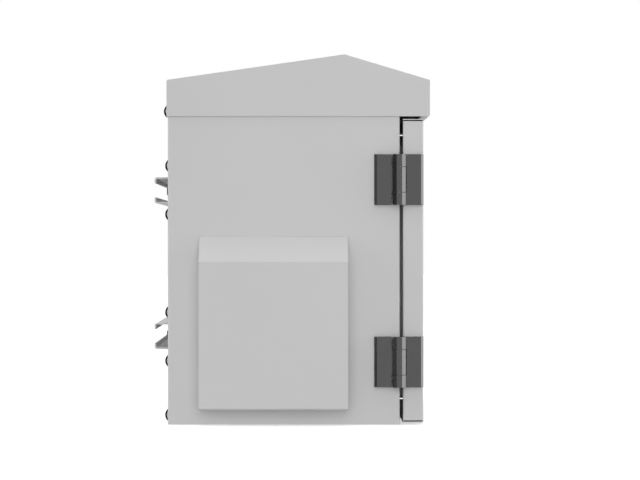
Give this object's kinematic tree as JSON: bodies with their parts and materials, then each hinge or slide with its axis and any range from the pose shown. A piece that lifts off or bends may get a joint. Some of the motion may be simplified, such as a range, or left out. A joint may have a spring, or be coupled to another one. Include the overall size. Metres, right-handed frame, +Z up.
{
  "type": "outdoor rack cabinet",
  "caption": "Outdoor equipment cabinet with a gabled rain roof, hinged front door, hooded side vents, slotted rear channels for a wall or pole, and rack rails inside.",
  "frame": {"origin": "middle of the floor's underside, on the plane the cabinet stands on", "axes": "+Z up, -Y out of the front door, +X to the right as seen from the front, away from the hinges"},
  "size_m": [0.68, 0.4325, 0.5789],
  "materials": {
    "painted_sheet": "light grey powder coat, satin",
    "hinge_metal": "dark nickel plated die casting",
    "polished_steel": "polished",
    "zinc_sheet": "zinc coated",
    "zinc_fasteners": "bright zinc",
    "rubber": "matt black",
    "seal_foam": "matt black foam",
    "filter_fleece": "open fleece",
    "black_plastic": "moulded, matt",
    "lock_metal": "black coated die casting"
  },
  "bodies": {
    "cabinet": {"side_panel_left": "painted_sheet", "side_panel_right": "painted_sheet", "rear_panel": "painted_sheet", "top_panel": "painted_sheet", "floor_panel": "painted_sheet", "roof": "painted_sheet", "roof_rib_left": "painted_sheet", "roof_rib_right": "painted_sheet", "roof_rib_bolts": "zinc_fasteners", "cup_head_bolts": "polished_steel", "flange_nuts": "zinc_fasteners", "upper_pole_rail": "painted_sheet", "lower_pole_rail": "painted_sheet", "pole_rail_bolts": "zinc_fasteners", "vent_hood_left": "painted_sheet", "vent_hood_right": "painted_sheet", "hood_nuts": "zinc_fasteners", "filter_frame": "black_plastic", "filter_mat": "filter_fleece", "filter_cover": "black_plastic", "filter_screws": "zinc_fasteners", "fan_housing": "black_plastic", "fan_guard_outer": "zinc_fasteners", "fan_guard_inner": "zinc_fasteners", "fan_screws": "zinc_fasteners", "fan_nuts": "zinc_fasteners", "rack_rail_front_left": "zinc_sheet", "rack_rail_front_right": "zinc_sheet", "rack_rail_rear_left": "zinc_sheet", "rack_rail_rear_right": "zinc_sheet", "rail_support_upper_left": "zinc_sheet", "rail_support_upper_right": "zinc_sheet", "rail_support_lower_left": "zinc_sheet", "rail_support_lower_right": "zinc_sheet", "rack_rail_bolts": "zinc_fasteners", "rack_rail_nuts": "zinc_fasteners", "gland_plate": "zinc_sheet", "gland_plate_seal": "rubber", "cable_grommets": "rubber", "gland_plate_screws": "zinc_fasteners", "earth_stud": "zinc_fasteners", "upper_hinge_body_leaf": "hinge_metal", "lower_hinge_body_leaf": "hinge_metal", "hinge_pins": "polished_steel", "body_hinge_screws": "zinc_fasteners"},
    "door": {"door_pan": "painted_sheet", "door_gasket": "seal_foam", "door_stiffener": "zinc_sheet", "upper_hinge_door_leaf": "hinge_metal", "lower_hinge_door_leaf": "hinge_metal", "door_hinge_screws": "zinc_fasteners", "upper_lock_housing": "lock_metal", "lower_lock_housing": "lock_metal", "lock_nuts": "zinc_fasteners"},
    "upper_lock": {"upper_lock_rotor": "hinge_metal", "upper_lock_cam": "zinc_fasteners"},
    "lower_lock": {"lower_lock_rotor": "hinge_metal", "lower_lock_cam": "zinc_fasteners"},
    "fan": {"fan_rotor": "black_plastic"}
  },
  "joints": [
    {"name": "door_hinge", "type": "hinge", "parent": "cabinet", "child": "door", "pos_m": [-0.31144, -0.18, 0.2405], "axis": [0, 0, -1], "range_deg": [0, 180]},
    {"name": "upper_lock_turn", "type": "hinge", "parent": "door", "child": "upper_lock", "pos_m": [0.226, -0.2, 0.383], "axis": [0, -1, 0], "range_deg": [0, 90]},
    {"name": "lower_lock_turn", "type": "hinge", "parent": "door", "child": "lower_lock", "pos_m": [0.226, -0.2, 0.098], "axis": [0, -1, 0], "range_deg": [0, 90]},
    {"name": "fan_spin", "type": "hinge", "parent": "cabinet", "child": "fan", "pos_m": [0.2795, 0.016, 0.16], "axis": [1, 0, 0], "continuous": true}
  ]
}
